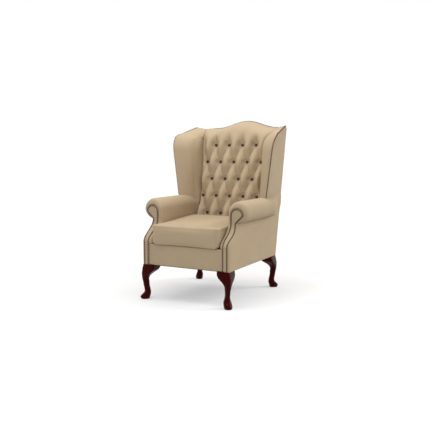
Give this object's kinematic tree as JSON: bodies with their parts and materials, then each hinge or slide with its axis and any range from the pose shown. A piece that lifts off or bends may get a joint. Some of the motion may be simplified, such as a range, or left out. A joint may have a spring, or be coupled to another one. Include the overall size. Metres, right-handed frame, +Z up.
{
  "type": "wingback armchair",
  "caption": "High-back wing armchair in leather with a deep-buttoned back, scroll arms, a loose seat cushion, nailhead trim and cabriole legs",
  "frame": {"origin": "On the floor under the middle of the chair's bounding box", "axes": "+Z up, the chair faces -Y, +X is the sitter's left"},
  "size_m": [0.7266, 0.8806, 1.09],
  "materials": {
    "leather": "pale tan leather, semi-matt, finely grained",
    "platform_cloth": "woven platform lining",
    "dust_cloth": "black non-woven cloth",
    "leg_wood": "dark red mahogany, gloss lacquer",
    "frame_wood": "bare beech",
    "spring_steel": "drawn spring wire",
    "button_metal": "antique bronze, dark and glossy",
    "nail_metal": "antique bronze nail heads"
  },
  "bodies": {
    "chair": {"front_border": "leather", "inside_back_pad": "leather", "wing_pad_left": "leather", "wing_pad_right": "leather", "arm_pad_left": "leather", "arm_pad_right": "leather", "arm_facing_left": "leather", "arm_facing_right": "leather", "outside_arm_left": "leather", "outside_arm_right": "leather", "outside_wing_left": "leather", "outside_wing_right": "leather", "outside_back": "leather", "seat_platform": "platform_cloth", "dust_cover": "dust_cloth", "leg_front_left": "leg_wood", "leg_front_right": "leg_wood", "leg_rear_left": "leg_wood", "leg_rear_right": "leg_wood", "seat_rail_front": "frame_wood", "seat_rail_rear": "frame_wood", "seat_rail_left": "frame_wood", "seat_rail_right": "frame_wood", "back_post_left": "frame_wood", "back_post_right": "frame_wood", "top_rail": "frame_wood", "lower_back_rail": "frame_wood", "arm_post_left": "frame_wood", "arm_post_right": "frame_wood", "arm_rail_left": "frame_wood", "arm_rail_right": "frame_wood", "wing_board_left": "frame_wood", "wing_board_right": "frame_wood", "seat_spring_1": "spring_steel", "seat_spring_2": "spring_steel", "seat_spring_3": "spring_steel", "seat_spring_4": "spring_steel", "button_r1_c1": "button_metal", "button_r1_c2": "button_metal", "button_r1_c3": "button_metal", "button_r1_c4": "button_metal", "button_r2_c1": "button_metal", "button_r2_c2": "button_metal", "button_r2_c3": "button_metal", "button_r2_c4": "button_metal", "button_r2_c5": "button_metal", "button_r3_c1": "button_metal", "button_r3_c2": "button_metal", "button_r3_c3": "button_metal", "button_r3_c4": "button_metal", "button_r4_c1": "button_metal", "button_r4_c2": "button_metal", "button_r4_c3": "button_metal", "button_r4_c4": "button_metal", "button_r4_c5": "button_metal", "button_r5_c1": "button_metal", "button_r5_c2": "button_metal", "button_r5_c3": "button_metal", "button_r5_c4": "button_metal"},
    "cushion": {"seat_cushion": "leather"}
  },
  "joints": [
    {"name": "cushion_lift", "type": "slide", "parent": "chair", "child": "cushion", "axis": [0, 0, 1], "range_m": [0, 0.3]}
  ]
}
